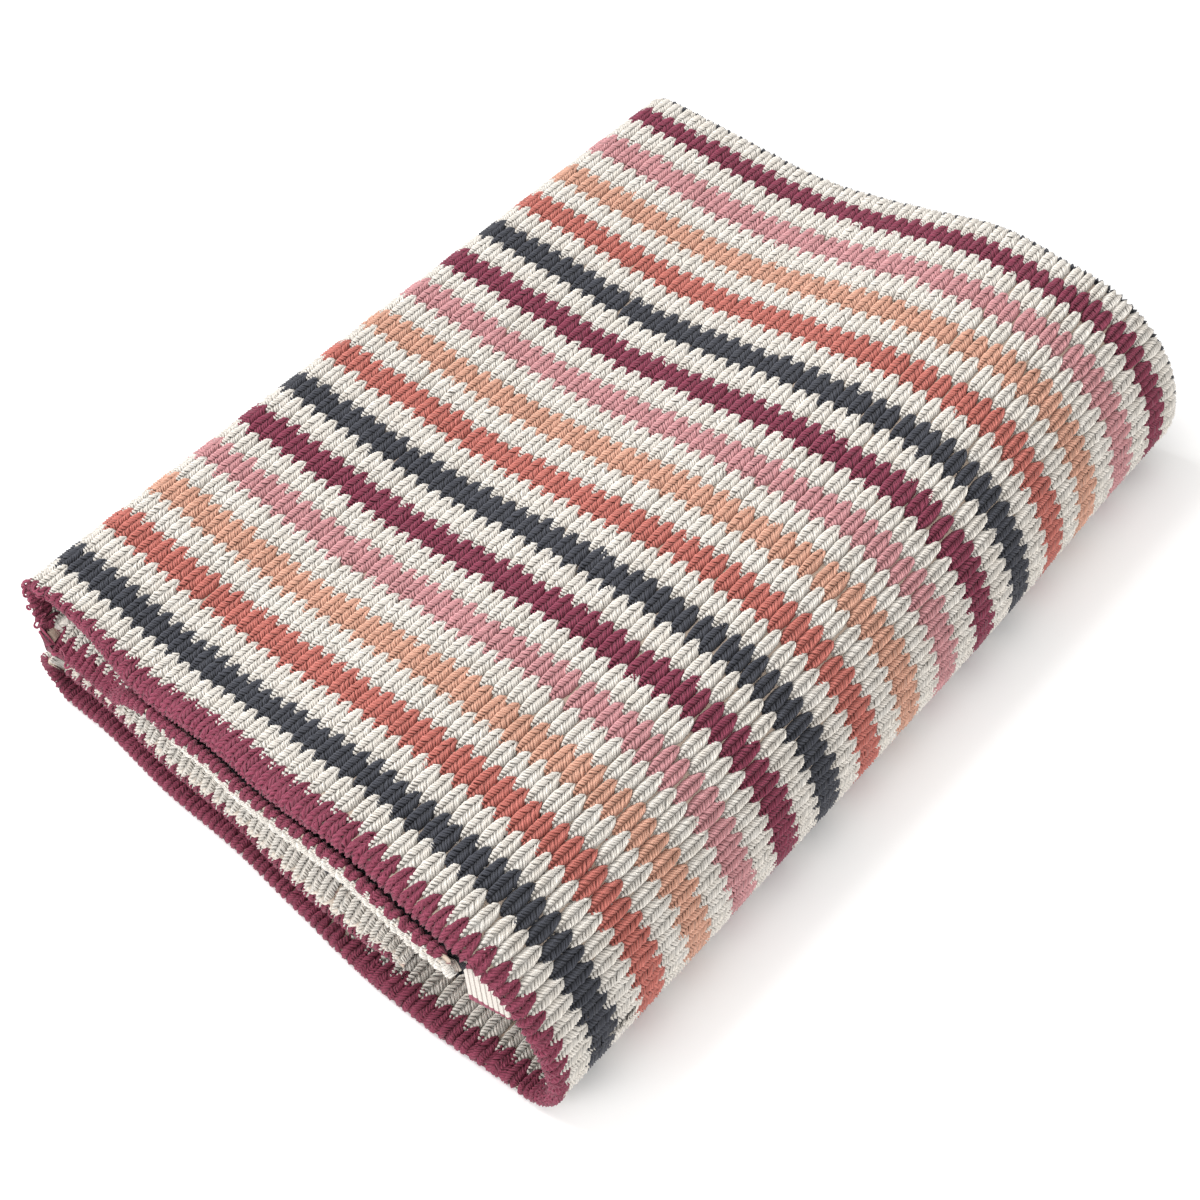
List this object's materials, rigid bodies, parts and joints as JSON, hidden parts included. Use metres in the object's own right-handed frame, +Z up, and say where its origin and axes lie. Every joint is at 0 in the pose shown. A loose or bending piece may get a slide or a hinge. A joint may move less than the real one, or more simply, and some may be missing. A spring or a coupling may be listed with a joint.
{
  "type": "folded hand towel",
  "caption": "Thick ribbed cotton hand towel with crosswise stripes, folded in half twice into a soft pack with a full rounded fold on one side.",
  "frame": {"origin": "under the middle of the folded pack, on the surface it lies on", "axes": "+Z up, -Y towards the edge where the layers end, +X towards the big rounded fold"},
  "size_m": [0.2186, 0.2666, 0.0576],
  "materials": {
    "cotton": "matte twisted cotton yarn, striped in cream, burgundy, navy, coral, peach and pink",
    "tape": "fine ribbed cotton tape with a burgundy lower edge"
  },
  "bodies": {
    "root": {"towel": "cotton", "tab": "tape"}
  },
  "joints": []
}
